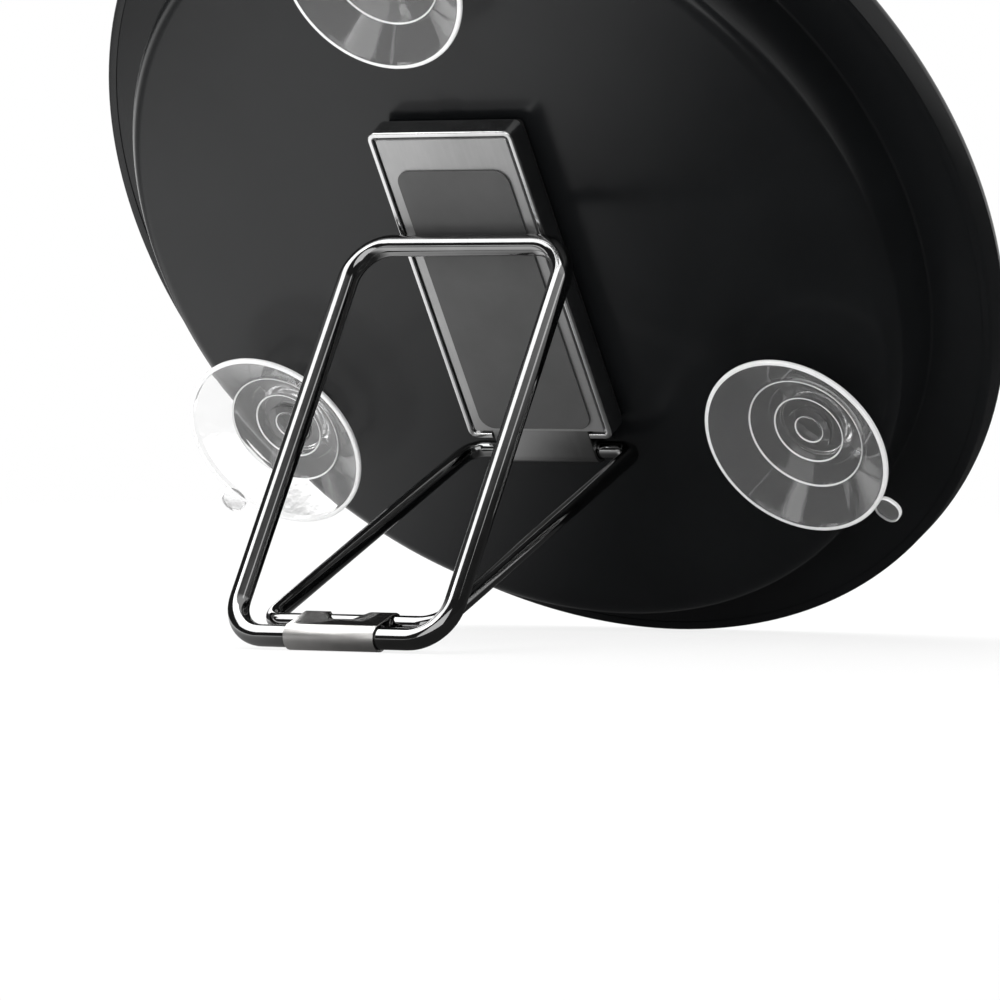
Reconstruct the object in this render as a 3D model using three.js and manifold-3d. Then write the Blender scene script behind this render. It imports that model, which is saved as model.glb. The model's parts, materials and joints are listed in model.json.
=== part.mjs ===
// A round magnifying mirror with three suction cups on its back and a folding wire stand.
// Millimetres, +Z up. The glass faces -Y and the back faces +Y. The mirror leans back and stands
// on the lower edge of its rim and on the clip that joins the two wire frames of the stand.
// The origin is on the table, under the middle of the whole part.
//
// Inside the mirror group X is to the right seen from behind, Y runs up the back and Z points
// out of the back. Z is zero at the widest line of the rim.
import * as THREE from "three";
import { mergeVertices } from "three/addons/utils/BufferGeometryUtils.js";
import Module from "manifold-3d";

const wasm = await Module();
wasm.setup();

// Fits
const seatGap = 0.3;
const filmGap = 0.15;
const barrelClearance = 0.12;
const overrun = 1;

// Smoothness, in sides and steps of round forms
const discSides = 64;
const cupSides = 32;
const wireSides = 16;
const barrelSides = 24;
const bendSteps = 5;
const cornerSteps = 4;
const glassSteps = 4;

// Front bezel
const rimRadius = 80;
const rimTaper = 0.35;
const rimCrown = 2.6;
const rimWall = 1.6;
const rimEdgeRound = 0.5;
const lipWidth = 6;
const lipThickness = 1.2;
const lipChamfer = 0.5;
const snapDepth = 0.5;
const snapWidth = 0.7;

// Mirror glass and the foam ring behind its edge
const glassThickness = 1.8;
const glassSideGap = 0.45;
const glassCurvature = 560;
const foamWidth = 3.5;
const foamSideGap = 0.6;

// Rear shell
const brimWidth = 11;
const brimThickness = 1.3;
const brimClearance = 0.45;
const brimStep = 0.2;
const bossHeight = 12.9;
const bossFillet = 3;
const bossRootFillet = 0.6;
const bossInnerFillet = 1;
const shellWall = 2;

// Suction cups
const cupEdgeOffset = 11.8;
const cupRadius = 15.9;
const cupHeight = 9.1;
const cupLipWidth = 0.7;
const cupLipDepth = 0.6;
const cupWall = 1.3;
const cupThroatRadius = 9.8;
const cupThroatHeight = 5.3;
const cupFloorHeight = 3.6;
const cupNippleRadius = 3.8;
const cupNippleHeight = 0.5;
const cupSeatRadius = 5.9;
const cupSeatHeight = 1.6;
const cupNeckRadius = 3.4;
const cupHeadRadius = 5;
const cupHeadHeight = 1.8;
const cupHeadRound = 0.8;
const tabWidth = 4.2;
const tabLength = 3.9;
const tabThickness = 0.9;
const tabCorner = 1.9;
const tabDrop = 0.2;
const cups = [
  { name: "suction_cup_top", angle: 90, tabTurn: 0 },
  { name: "suction_cup_left", angle: 210, tabTurn: 13 },
  { name: "suction_cup_right", angle: 330, tabTurn: -13 },
];

// Adhesive pad, base tray, hinge plate and label film
const plateWidth = 27.3;
const plateLength = 57.5;
const plateOffset = -1.15;
const plateCorner = 1.6;
const padThickness = 0.9;
const padInset = 0.7;
const trayHeight = 4;
const trayRimWidth = 0.9;
const sheetThickness = 0.55;
const sheetSink = 0.15;
const sheetGroove = 0.45;
const tongueWidth = 18;
const tonguePlateGap = 1.33;
const labelTopMargin = 7;
const labelBottomMargin = 2;
const labelSideMargin = 3.15;
const labelCorner = 2.5;
const labelThickness = 0.2;

// Wire frames and hinge clip
const armWire = 2.8;
const armSideGap = 0.75;
const armEndGap = 2;
const armCorner = 3.2;
const loopWire = 3.5;
const loopSideGap = 1.05;
const loopLength = 71.1;
const loopFarCorner = 6.5;
const loopFootCorner = 6.5;
const wireJoint = 0.3;
const clipSheet = 0.3;
const clipWidth = 16.7;
const clipNeck = 0.96;
const notchReach = 0.6;
const notchFloorWidth = 4.5;
const notchMouthWidth = 10.6;
const restingReach = 41.7;
const restingGap = 0.9;

// Places that follow from the sizes
const windowRadius = rimRadius - lipWidth;
const rimBackRadius = rimRadius - rimTaper;
const rimInnerRadius = rimBackRadius - rimWall;
const lipBackZ = lipThickness - rimCrown;
const glassRadius = rimInnerRadius - glassSideGap;
const glassFrontZ = lipBackZ + seatGap;
const bossRadius = rimRadius - brimWidth;
const bossInnerRadius = bossRadius - shellWall;
const brimRadius = rimInnerRadius - seatGap;
const brimUnderZ = glassBackZ(bossInnerRadius) + brimClearance;
const brimTopZ = brimUnderZ + brimThickness;
const rimDepth = brimTopZ + brimStep;
const snapZ = (brimTopZ + brimUnderZ) / 2;
const backZ = brimTopZ + bossHeight;
const shellInnerZ = backZ - shellWall;
const cupCircleRadius = bossRadius - cupEdgeOffset;
const padBottomZ = backZ + seatGap;
const trayBottomZ = padBottomZ + padThickness + seatGap;
const trayTopZ = trayBottomZ + trayHeight;
const sheetTopZ = trayTopZ - sheetSink;
const trayFloorZ = sheetTopZ - sheetThickness - seatGap;
const plateTopY = plateOffset + plateLength / 2;
const plateBottomY = plateOffset - plateLength / 2;
const armBore = armWire / 2 + barrelClearance;
const armBarrel = armBore + sheetThickness;
const hingeY = plateBottomY - tonguePlateGap - armBarrel;
const hingeZ = sheetTopZ - armBarrel;
const armHalfWidth = plateWidth / 2 + armSideGap + armWire / 2;
const armLength = plateTopY - hingeY + armEndGap + armWire / 2;
const loopHalfWidth = armHalfWidth + armWire / 2 + loopSideGap + loopWire / 2;
const clipEarBore = armWire / 2 + barrelClearance;
const clipEar = clipEarBore + clipSheet;
const clipBarrelBore = loopWire / 2 + barrelClearance;
const clipBarrel = clipBarrelBore + clipSheet;
const clipPitch = clipEar + clipNeck + clipBarrel;

// Stand triangle: the arm and the clip make one side, the loop the second, and the stretch of the
// back from the arm's hinge to the loop's resting end the third.
const strutLength = armLength + clipPitch;
const restingHeight = trayTopZ + restingGap + loopWire / 2 - hingeZ;
const restingSpan = Math.hypot(restingReach, restingHeight);
const armAngle = Math.atan2(restingHeight, restingReach)
  + cornerAngle(strutLength, restingSpan, loopLength);
const loopAngle = Math.PI + cornerAngle(strutLength, loopLength, restingSpan);

// Lean: a flat table touches the rounded back edge of the rim and the clip's barrel.
const footY = rimEdgeRound - rimBackRadius;
const footZ = rimDepth - rimEdgeRound;
const clipBarrelY = hingeY + strutLength * Math.cos(armAngle);
const clipBarrelZ = hingeZ + strutLength * Math.sin(armAngle);
const footSpan = Math.hypot(clipBarrelY - footY, clipBarrelZ - footZ);
const lean = Math.acos((clipBarrel - rimEdgeRound) / footSpan)
  - Math.atan2(clipBarrelZ - footZ, clipBarrelY - footY);

// The angle between two sides of a triangle, opposite the third.
function cornerAngle(sideA, sideB, opposite) {
  return Math.acos((sideA ** 2 + sideB ** 2 - opposite ** 2) / (2 * sideA * sideB));
}

// The closed solid of a geometry, with its shared corners joined and its empty triangles left out.
function solid(geometry) {
  geometry.deleteAttribute("normal");
  geometry.deleteAttribute("uv");
  const welded = mergeVertices(geometry);
  const index = welded.index.array;
  const triangles = [];
  for (let i = 0; i < index.length; i += 3) {
    const [a, b, c] = index.slice(i, i + 3);
    if (a !== b && b !== c && c !== a) triangles.push(a, b, c);
  }
  return new wasm.Manifold(new wasm.Mesh({
    numProp: 3,
    vertProperties: new Float32Array(welded.attributes.position.array),
    triVerts: new Uint32Array(triangles),
  }));
}

function piece(name, body, material) {
  const { vertProperties, triVerts } = body.getMesh();
  const indexed = new THREE.BufferGeometry();
  indexed.setAttribute("position", new THREE.BufferAttribute(vertProperties, 3));
  indexed.setIndex(new THREE.BufferAttribute(triVerts, 1));
  const geometry = indexed.toNonIndexed();
  geometry.computeVertexNormals();
  const mesh = new THREE.Mesh(geometry, material);
  mesh.name = name;
  return mesh;
}

// Points of an arc, anticlockwise where the second angle is the larger, as [across, up] pairs.
function arc(across, up, radius, fromDegrees, toDegrees, steps) {
  return Array.from({ length: steps + 1 }, (_, i) => {
    const angle = THREE.MathUtils.degToRad(fromDegrees + ((toDegrees - fromDegrees) * i) / steps);
    return [across + radius * Math.cos(angle), up + radius * Math.sin(angle)];
  });
}

function toPoints(outline) {
  return outline.map(([across, up]) => new THREE.Vector2(across, up));
}

// A profile of [radius, z] corners, listed anticlockwise, turned about the Z axis.
function revolved(profile, sides) {
  const lathe = new THREE.LatheGeometry(toPoints(profile), sides);
  lathe.rotateX(Math.PI / 2);
  return solid(lathe);
}

function ring(profile, sides) {
  return revolved([...profile, profile[0]], sides);
}

function rod(radius, bottomZ, topZ, sides) {
  return revolved([[0, bottomZ], [radius, bottomZ], [radius, topZ], [0, topZ]], sides);
}

// An outline of [x, y] corners raised from one height to another.
function slab(outline, bottomZ, topZ) {
  const shape = new THREE.Shape(toPoints(outline));
  const geometry = new THREE.ExtrudeGeometry(shape, { depth: topZ - bottomZ, bevelEnabled: false });
  geometry.translate(0, 0, bottomZ);
  return solid(geometry);
}

// A side outline of [y, z] corners spread evenly to both sides of the middle.
function spread(outline, width) {
  const turned = new THREE.Matrix4().makeBasis(
    new THREE.Vector3(0, 1, 0),
    new THREE.Vector3(0, 0, 1),
    new THREE.Vector3(1, 0, 0),
  );
  const shape = new THREE.Shape(toPoints(outline));
  const geometry = new THREE.ExtrudeGeometry(shape, { depth: width, bevelEnabled: false });
  geometry.translate(0, 0, -width / 2);
  geometry.applyMatrix4(turned);
  return solid(geometry);
}

function crossRod(y, z, radius, width) {
  return spread(arc(y, z, radius, 0, 360, barrelSides).slice(1), width);
}

function rectangle(halfWidth, lowY, highY) {
  return [[-halfWidth, lowY], [halfWidth, lowY], [halfWidth, highY], [-halfWidth, highY]];
}

function roundedRectangle(halfWidth, lowY, highY, radius) {
  const side = halfWidth - radius;
  return [
    ...arc(side, lowY + radius, radius, -90, 0, cornerSteps),
    ...arc(side, highY - radius, radius, 0, 90, cornerSteps),
    ...arc(-side, highY - radius, radius, 90, 180, cornerSteps),
    ...arc(-side, lowY + radius, radius, 180, 270, cornerSteps),
  ];
}

// A path with a station at each end of a straight run and several round each bend.
class FramePath extends THREE.Curve {
  constructor(halfWidth, length, nearCorner, farCorner) {
    super();
    const near = halfWidth - nearCorner;
    const far = halfWidth - farCorner;
    this.points = [];
    this.tangents = [];
    this.addStation(wireJoint / 2, 0, 0);
    this.addBend(near, nearCorner, nearCorner, -90);
    this.addBend(far, length - farCorner, farCorner, 0);
    this.addBend(-far, length - farCorner, farCorner, 90);
    this.addBend(-near, nearCorner, nearCorner, 180);
    this.addStation(-wireJoint / 2, 0, 0);
  }

  addStation(x, y, headingDegrees) {
    const heading = THREE.MathUtils.degToRad(headingDegrees);
    this.points.push(new THREE.Vector3(x, y, 0));
    this.tangents.push(new THREE.Vector3(Math.cos(heading), Math.sin(heading), 0));
  }

  addBend(x, y, radius, fromDegrees) {
    arc(x, y, radius, fromDegrees, fromDegrees + 90, bendSteps).forEach(([px, py], i) => {
      this.addStation(px, py, fromDegrees + 90 + (90 * i) / bendSteps);
    });
  }

  get steps() {
    return this.points.length - 1;
  }

  getPointAt(share, target = new THREE.Vector3()) {
    return target.copy(this.points[Math.round(share * this.steps)]);
  }

  getTangentAt(share, target = new THREE.Vector3()) {
    return target.copy(this.tangents[Math.round(share * this.steps)]);
  }
}

function wireFrame(path, diameter) {
  const section = new THREE.Shape(toPoints(arc(0, 0, diameter / 2, 0, 360, wireSides).slice(1)));
  return solid(new THREE.ExtrudeGeometry(section, {
    steps: path.steps,
    extrudePath: path,
    bevelEnabled: false,
  }));
}

// Materials
const casingPlastic = new THREE.MeshStandardMaterial({ color: 0x1d1e20, roughness: 0.5 });
const silverGlass = new THREE.MeshStandardMaterial({ color: 0xe6eaec, roughness: 0.03, metalness: 1 });
const clearVinyl = new THREE.MeshStandardMaterial({ color: 0xe4e7e8, roughness: 0.15 });
const darkFoam = new THREE.MeshStandardMaterial({ color: 0x17181a, roughness: 0.95 });
const gunmetal = new THREE.MeshStandardMaterial({ color: 0x8b8b8a, roughness: 0.35, metalness: 1 });
const greyFilm = new THREE.MeshStandardMaterial({ color: 0x55565a, roughness: 0.55 });
const blackChrome = new THREE.MeshStandardMaterial({ color: 0x77777a, roughness: 0.08, metalness: 1 });
const satinSteel = new THREE.MeshStandardMaterial({ color: 0x8f8c88, roughness: 0.4, metalness: 1 });

// Front ring that wraps the glass and takes the shell's snap bead in a groove.
function frontBezel() {
  return ring([
    [windowRadius + lipChamfer, -rimCrown],
    ...arc(rimRadius - rimCrown, 0, rimCrown, -90, 0, cornerSteps),
    ...arc(rimBackRadius - rimEdgeRound, rimDepth - rimEdgeRound, rimEdgeRound, 0, 90, 2),
    [rimInnerRadius, rimDepth],
    [rimInnerRadius, snapZ + snapWidth],
    [rimInnerRadius + snapDepth, snapZ],
    [rimInnerRadius, snapZ - snapWidth],
    [rimInnerRadius, lipBackZ],
    [windowRadius, lipBackZ],
    [windowRadius, lipChamfer - rimCrown],
  ], discSides);
}

// How much deeper the dished glass lies at a radius than at its edge.
function glassDish(radius) {
  return Math.sqrt(glassCurvature ** 2 - radius ** 2) - Math.sqrt(glassCurvature ** 2 - glassRadius ** 2);
}

function glassBackZ(radius) {
  return glassFrontZ + glassThickness + glassDish(radius);
}

function mirrorGlass() {
  const radii = Array.from({ length: glassSteps + 1 }, (_, i) => (glassRadius * i) / glassSteps);
  return revolved([
    ...radii.map((radius) => [radius, glassFrontZ + glassDish(radius)]),
    ...radii.reverse().map((radius) => [radius, glassBackZ(radius)]),
  ], discSides);
}

function glassFoamRing() {
  const outer = glassRadius - foamSideGap;
  const inner = outer - foamWidth;
  return ring([
    [inner, glassBackZ(inner) + seatGap],
    [outer, glassBackZ(outer) + seatGap],
    [outer, brimUnderZ - seatGap],
    [inner, brimUnderZ - seatGap],
  ], discSides);
}

function cupCentre(cup) {
  const angle = THREE.MathUtils.degToRad(cup.angle);
  return [cupCircleRadius * Math.cos(angle), cupCircleRadius * Math.sin(angle)];
}

// Hat-shaped back cover: a brim that snaps into the bezel and a raised flat back.
function rearShell() {
  let shell = revolved([
    [0, shellInnerZ],
    ...arc(bossInnerRadius - bossInnerFillet, shellInnerZ - bossInnerFillet, bossInnerFillet, 90, 0, 2),
    [bossInnerRadius, brimUnderZ],
    [brimRadius, brimUnderZ],
    [brimRadius, snapZ - snapWidth / 2],
    [brimRadius + snapDepth, snapZ],
    [brimRadius, snapZ + snapWidth / 2],
    [brimRadius, brimTopZ],
    ...arc(bossRadius + bossRootFillet, brimTopZ + bossRootFillet, bossRootFillet, 270, 180, 2),
    ...arc(bossRadius - bossFillet, backZ - bossFillet, bossFillet, 0, 90, cornerSteps),
    [0, backZ],
  ], discSides);
  for (const cup of cups) {
    const hole = rod(cupNeckRadius + seatGap, shellInnerZ - overrun, backZ + overrun, barrelSides);
    shell = shell.subtract(hole.translate([...cupCentre(cup), 0]));
  }
  return shell;
}

// One suction cup, with its seat on the plane Z = 0: a head inside the shell, a neck through the
// hole, and a dish whose rim faces outwards, with a pull tab along X.
function suctionCup() {
  const headTopZ = -shellWall - seatGap;
  const headBottomZ = headTopZ - cupHeadHeight;
  const lipUnderZ = cupHeight - cupLipDepth;
  const dish = revolved([
    [0, headBottomZ],
    [cupHeadRadius - cupHeadRound, headBottomZ],
    [cupHeadRadius, headBottomZ + cupHeadRound],
    [cupHeadRadius, headTopZ],
    [cupNeckRadius, headTopZ],
    [cupNeckRadius, seatGap],
    [cupSeatRadius, seatGap],
    [cupSeatRadius, cupSeatHeight],
    [cupThroatRadius, cupThroatHeight - cupWall],
    [cupRadius - cupLipDepth, lipUnderZ - cupLipDepth],
    [cupRadius, lipUnderZ],
    [cupRadius, cupHeight],
    [cupRadius - cupLipWidth, cupHeight],
    [cupThroatRadius, cupThroatHeight],
    [cupNippleRadius, cupFloorHeight],
    [cupNippleRadius, cupFloorHeight + cupNippleHeight],
    [0, cupFloorHeight + cupNippleHeight],
  ], cupSides);
  const tabStart = cupRadius - cupLipDepth;
  const tabEnd = cupRadius + tabLength;
  const outline = [
    [tabStart, -tabWidth / 2],
    ...arc(tabEnd - tabCorner, tabCorner - tabWidth / 2, tabCorner, -90, 0, cornerSteps),
    ...arc(tabEnd - tabCorner, tabWidth / 2 - tabCorner, tabCorner, 0, 90, cornerSteps),
    [tabStart, tabWidth / 2],
  ];
  return dish.add(slab(outline, cupHeight - tabDrop - tabThickness, cupHeight - tabDrop));
}

function adhesivePad() {
  const outline = roundedRectangle(
    plateWidth / 2 - padInset,
    plateBottomY + padInset,
    plateTopY - padInset,
    plateCorner - padInset,
  );
  return slab(outline, padBottomZ, padBottomZ + padThickness);
}

// Shallow tray with a raised rim, open at its lower edge where the tongue passes out.
function baseTray() {
  const outline = roundedRectangle(plateWidth / 2, plateBottomY, plateTopY, plateCorner);
  const recess = roundedRectangle(
    plateWidth / 2 - trayRimWidth,
    plateBottomY + trayRimWidth,
    plateTopY - trayRimWidth,
    plateCorner - trayRimWidth,
  );
  const gate = rectangle(
    tongueWidth / 2 + seatGap,
    plateBottomY - overrun,
    plateBottomY + trayRimWidth + overrun,
  );
  return slab(outline, trayBottomZ, trayTopZ)
    .subtract(slab(recess, trayFloorZ, trayTopZ + overrun))
    .subtract(slab(gate, trayFloorZ, trayTopZ + overrun));
}

// Sheet inside the tray whose tongue is rolled round the arm's first crossbar.
function hingePlate() {
  const inset = trayRimWidth + sheetGroove;
  const sheetBottomZ = sheetTopZ - sheetThickness;
  const sheet = rectangle(plateWidth / 2 - inset, plateBottomY + inset, plateTopY - inset);
  const tongue = rectangle(tongueWidth / 2, hingeY, plateBottomY + inset + overrun);
  return slab(sheet, sheetBottomZ, sheetTopZ)
    .add(slab(tongue, sheetBottomZ, sheetTopZ))
    .add(crossRod(hingeY, hingeZ, armBarrel, tongueWidth))
    .subtract(crossRod(hingeY, hingeZ, armBore, tongueWidth + 2 * overrun));
}

function labelFilm() {
  const bottomZ = sheetTopZ + filmGap;
  const outline = roundedRectangle(
    plateWidth / 2 - labelSideMargin,
    plateBottomY + labelBottomMargin,
    plateTopY - labelTopMargin,
    labelCorner,
  );
  return slab(outline, bottomZ, bottomZ + labelThickness);
}

// Sheet clip: two ears rolled round the arm's far crossbar, a web, and a barrel rolled round the
// loop's foot. The far crossbar lies on the X axis and the foot one pitch along Y.
function hingeClip() {
  const web = [
    [0, -clipEar],
    [clipPitch, -clipBarrel],
    [clipPitch, clipSheet - clipBarrel],
    [0, clipSheet - clipEar],
  ];
  const notchDepth = clipEar + overrun;
  const notchFloor = clipEar + notchReach;
  const notch = [
    [-notchFloorWidth / 2, notchFloor],
    [-notchMouthWidth / 2, -notchDepth],
    [notchMouthWidth / 2, -notchDepth],
    [notchFloorWidth / 2, notchFloor],
  ];
  return spread(web, clipWidth)
    .add(crossRod(0, 0, clipEar, clipWidth))
    .add(crossRod(clipPitch, 0, clipBarrel, clipWidth))
    .subtract(crossRod(0, 0, clipEarBore, clipWidth + 2 * overrun))
    .subtract(crossRod(clipPitch, 0, clipBarrelBore, clipWidth + 2 * overrun))
    .subtract(slab(notch, -notchDepth, notchDepth));
}

const armPath = new FramePath(armHalfWidth, armLength, armCorner, armCorner);
const loopPath = new FramePath(loopHalfWidth, loopLength, loopFootCorner, loopFarCorner);

// Scene graph: the loop turns in the clip, the clip on the arm and the arm on the mirror.
const loop = new THREE.Group();
loop.name = "loop";
loop.position.y = clipPitch;
loop.rotation.x = loopAngle;
loop.add(piece("wire_loop", wireFrame(loopPath, loopWire), blackChrome));

const clip = new THREE.Group();
clip.name = "clip";
clip.position.y = armLength;
clip.add(piece("hinge_clip", hingeClip(), satinSteel), loop);

const arm = new THREE.Group();
arm.name = "arm";
arm.position.set(0, hingeY, hingeZ);
arm.rotation.x = armAngle;
arm.add(piece("arm_frame", wireFrame(armPath, armWire), blackChrome), clip);

const mirror = new THREE.Group();
mirror.name = "mirror";
mirror.setRotationFromMatrix(new THREE.Matrix4().makeBasis(
  new THREE.Vector3(-1, 0, 0),
  new THREE.Vector3(0, Math.sin(lean), Math.cos(lean)),
  new THREE.Vector3(0, Math.cos(lean), -Math.sin(lean)),
));
mirror.add(
  piece("front_bezel", frontBezel(), casingPlastic),
  piece("mirror_glass", mirrorGlass(), silverGlass),
  piece("glass_foam_ring", glassFoamRing(), darkFoam),
  piece("rear_shell", rearShell(), casingPlastic),
  piece("adhesive_pad", adhesivePad(), darkFoam),
  piece("base_tray", baseTray(), gunmetal),
  piece("hinge_plate", hingePlate(), gunmetal),
  piece("label_film", labelFilm(), greyFilm),
  arm,
);
for (const cup of cups) {
  const body = piece(cup.name, suctionCup(), clearVinyl);
  const [x, y] = cupCentre(cup);
  body.position.set(x, y, backZ);
  body.rotation.z = THREE.MathUtils.degToRad(cup.angle + cup.tabTurn);
  mirror.add(body);
}

const group = new THREE.Group();
group.add(mirror);
const box = new THREE.Box3().setFromObject(group, true);
const middle = box.getCenter(new THREE.Vector3());
group.position.set(-middle.x, -middle.y, -box.min.z);

export default group;
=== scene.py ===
"""A round magnifying mirror with three suction cups on its back and a folding wire stand.

Metres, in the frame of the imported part: +Z up, the glass faces -Y and the back faces +Y. Sizes are
in millimetres in a piece's own space, which a matrix takes to the frame. In the mirror's space X is
to the right seen from behind, Y runs up the back and Z points out of the back, with Z zero at the
widest line of the rim. Each wire frame's space has its hinge on the X axis and its sides along Y.
"""
import json
import math

import bmesh
import bpy
from mathutils import Matrix, Vector


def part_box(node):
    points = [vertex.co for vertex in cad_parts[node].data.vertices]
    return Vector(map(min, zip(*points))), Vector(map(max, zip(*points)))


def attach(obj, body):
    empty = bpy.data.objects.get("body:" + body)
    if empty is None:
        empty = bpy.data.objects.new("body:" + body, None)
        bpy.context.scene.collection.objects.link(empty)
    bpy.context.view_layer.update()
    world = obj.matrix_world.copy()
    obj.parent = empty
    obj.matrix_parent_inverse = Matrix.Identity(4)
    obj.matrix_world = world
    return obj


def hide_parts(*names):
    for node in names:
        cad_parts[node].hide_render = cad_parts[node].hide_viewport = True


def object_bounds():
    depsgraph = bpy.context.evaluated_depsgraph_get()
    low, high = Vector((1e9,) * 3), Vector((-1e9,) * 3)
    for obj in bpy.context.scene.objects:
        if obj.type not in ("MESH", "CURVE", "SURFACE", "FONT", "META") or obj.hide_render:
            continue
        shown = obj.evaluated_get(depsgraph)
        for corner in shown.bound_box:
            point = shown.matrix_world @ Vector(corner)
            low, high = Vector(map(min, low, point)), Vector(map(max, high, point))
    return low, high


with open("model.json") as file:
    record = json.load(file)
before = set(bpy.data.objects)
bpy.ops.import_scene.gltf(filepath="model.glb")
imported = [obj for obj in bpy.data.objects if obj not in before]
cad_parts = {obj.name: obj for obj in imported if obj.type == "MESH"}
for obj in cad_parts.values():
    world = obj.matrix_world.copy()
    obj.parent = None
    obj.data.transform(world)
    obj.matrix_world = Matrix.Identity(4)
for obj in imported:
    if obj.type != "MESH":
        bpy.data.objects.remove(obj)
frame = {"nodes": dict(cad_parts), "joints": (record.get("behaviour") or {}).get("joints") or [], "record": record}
cad_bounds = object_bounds()

MM = 0.001
WHITE = (1, 1, 1, 1)

# Tolerances: for lengths that are nearly the same, and for values that are meant to be equal
CLOSE = 0.01
SAME = 1e-6

# Smoothness: sides and steps of round forms, and the angles of sharp and of bevelled edges
DISC_SIDES = 224
CUP_SIDES = 112
WIRE_SIDES = 40
ROLL_STEPS = 30
BEND_STEPS = 16
FILLET_STEPS = 6
GLASS_STEPS = 20
SHARP_DEGREES = 32
BEVEL_DEGREES = 50
BEVEL_SEGMENTS = 2

# The least share of a corner that an inset leaves, and how far a cut runs past its piece
LEAST_CORNER = 1 / 8
OVERRUN = 1

# Noise mostly stays between these two
NOISE_LOW = 0.3
NOISE_HIGH = 0.7

# Casing: bezel ring, glass, foam and rear shell
LIP_WIDTH = 6
LIP_THICKNESS = 1.2
LIP_ROUND = 0.4
RIM_TAPER = 0.35
RIM_WALL = 1.6
RIM_EDGE_ROUND = 0.5
RIM_EASE = 0.06
RIM_SIDE_SHARE = 0.2
GLASS_THICKNESS = 1.8
GLASS_EDGE_ROUND = 0.3
FOAM_WIDTH = 3.5
FOAM_ROUND = 0.25
BOSS_RADIUS = 69
BOSS_HEIGHT = 12.9
BOSS_FILLET = 3
BOSS_ROOT_FILLET = 0.6
BRIM_THICKNESS = 1.3
BRIM_EDGE_ROUND = 0.1
BRIM_GAP = 0.05
SHELL_WALL = 2
SHELL_INNER_FILLET = 1
SHELL_INNER_EDGE = 0.3

# Suction cups, with heights from the casing's back
CUP_EDGE_OFFSET = 11.8
CUP_LIP_WIDTH = 0.7
CUP_LIP_DEPTH = 0.6
CUP_LIP_ROUND = 0.3
CUP_LIP_UNDER_ROUND = 0.8
CUP_WALL = 1.3
CUP_WALL_ROUND = 3
CUP_THROAT_RADIUS = 9.8
CUP_THROAT_HEIGHT = 5.3
CUP_RING_RADIUS = 5.9
CUP_FLOOR_HEIGHT = 3.6
CUP_NIPPLE_RADIUS = 3.8
CUP_NIPPLE_HEIGHT = 0.5
CUP_NIPPLE_ROOT = 0.15
CUP_GROOVE_RADIUS = 2.3
CUP_GROOVE_WIDTH = 0.36
CUP_GROOVE_DEPTH = 0.25
CUP_GROOVE_ROUND = 0.1
CUP_SEAT_RADIUS = 5.9
CUP_SEAT_HEIGHT = 1.6
CUP_SEAT_GAP = 0.3
CUP_SEAT_ROUND = 0.25
CUP_SEAT_TOP_ROUND = 0.5
CUP_NECK_RADIUS = 3.4
CUP_HEAD_RADIUS = 5
CUP_HEAD_HEIGHT = 1.8
CUP_HEAD_ROUND = 0.8
CUP_SMALL_ROUND = 0.2
CUP_BEAD_WIDTH = 0.28
CUP_BEAD_HEIGHT = 0.12
CUP_SEAM_RISE = 0.12
CUP_SEAM_DEGREES = 0.45
CUP_SEAM_MARGIN = 0.5
TAB_WIDTH = 4.2
TAB_THICKNESS = 0.9
TAB_CORNER = 1.9
TAB_DROP = 0.2
TAB_ROUND = 0.25
# Faces of a tab that lean more than this from flat get the painted highlight
TAB_FLAT_COSINE = 0.9

# Each cup's place round the mirror, its tab's turn from straight outward and its seam's direction
CUPS = (
    {"node": "suction_cup_top", "angle": 90, "tab_turn": 0, "seam": 264},
    {"node": "suction_cup_left", "angle": 210, "tab_turn": 13, "seam": 56},
    {"node": "suction_cup_right", "angle": 330, "tab_turn": -13, "seam": 220},
)

# Adhesive pad, base tray, hinge plate and label film
PLATE_CORNER = 1.6
PAD_CORNER = 0.9
PAD_BULGE = 0.12
TRAY_RIM_WIDTH = 0.9
TRAY_EDGE_ROUND = 0.28
TRAY_RIM_ROUND = 0.2
TRAY_FLOOR_DEPTH = 1.0
SHEET_THICKNESS = 0.55
SHEET_BEVEL = 0.1
SHEET_CORNER = 0.4
SHEET_INSET = 1.35
TONGUE_OVERLAP = 1
TONGUE_BEVEL = 0.06
GATE_GAP = 0.3
LABEL_CORNER = 2.5
LABEL_ROUND = 0.08

# Wire frames and hinge clip
ARM_CORNER = 3.2
LOOP_CORNER = 6.5
BARREL_CLEARANCE = 0.12
CLIP_SHEET = 0.3
CLIP_BEVEL = 0.07
ROLL_EASE = 0.02
NOTCH_REACH = 0.6
NOTCH_FLOOR_WIDTH = 4.5
NOTCH_MOUTH_WIDTH = 10.6
ROLL_SWEEP = 326

# Camera, in metres and degrees, with its lens and sensor in millimetres
CAMERA_AIM = (0.0063, -0.0049, 0.0222)
CAMERA_AZIMUTH = 212.72
CAMERA_ELEVATION = 1.30
CAMERA_DISTANCE = 1.2456
CAMERA_LENS = 278.4
CAMERA_SENSOR = 36
CAMERA_REACH = 100

# Softboxes: name, turn to the camera's right, elevation, distance, size and watts
SOFTBOXES = (
    ("left", -88, 64, 1, 0.85, 9),
    ("low_left", -76, 33, 1, 0.34, 1.5),
    ("rear", -162, 42, 1, 0.8, 7),
    ("right_strip", 44, 37, 1, 0.2, 0.15),
    ("fill", -20, 8, 1.2, 1.1, 7),
)

# World: plain light, and for gloss a dark room, a backdrop and a front sky, with edges as cosines
AMBIENT = 0.4
ROOM_DARK = 0.04
BACKDROP_EDGE = (0.88, 0.97)
FRONT_SKY = (0, -0.5, 0.866)
FRONT_EDGE = (0.4, 0.52)
FRONT_LIGHT = 0.85

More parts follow.
